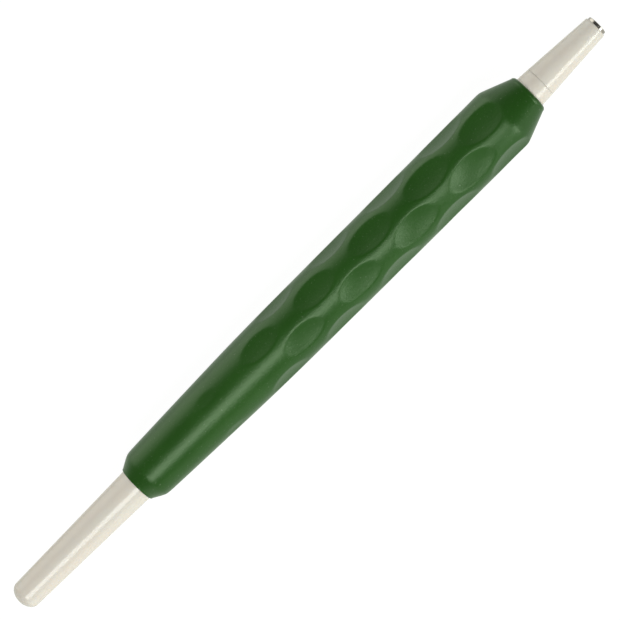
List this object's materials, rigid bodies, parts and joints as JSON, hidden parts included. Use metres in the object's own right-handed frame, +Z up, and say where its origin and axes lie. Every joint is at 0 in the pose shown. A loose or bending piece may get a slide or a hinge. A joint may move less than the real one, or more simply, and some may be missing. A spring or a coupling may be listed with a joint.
{
  "type": "clay shaper tool",
  "caption": "Double-ended hand tool for clay: dimpled soft grip on a barrel, with a domed burnishing rod at one end and a tapered nose ending in a short polished steel tip at the other.",
  "frame": {"origin": "under the middle of the tool's length, on the surface that the tool lies on", "axes": "+X along the tool's axis towards the steel tip, +Z up through the middle of a dimple row"},
  "size_m": [0.1644, 0.0142, 0.0142],
  "materials": {
    "grip_green": "satin soft-touch rubber with a fine moulded grain",
    "ivory_plastic": "smooth, slightly translucent, satin gloss",
    "polished_steel": "polished, with fine turning marks"
  },
  "bodies": {
    "root": {"grip_sleeve": "grip_green", "inner_barrel": "ivory_plastic", "burnisher_rod": "ivory_plastic", "tip_nose": "ivory_plastic", "steel_tip": "polished_steel"}
  },
  "joints": []
}
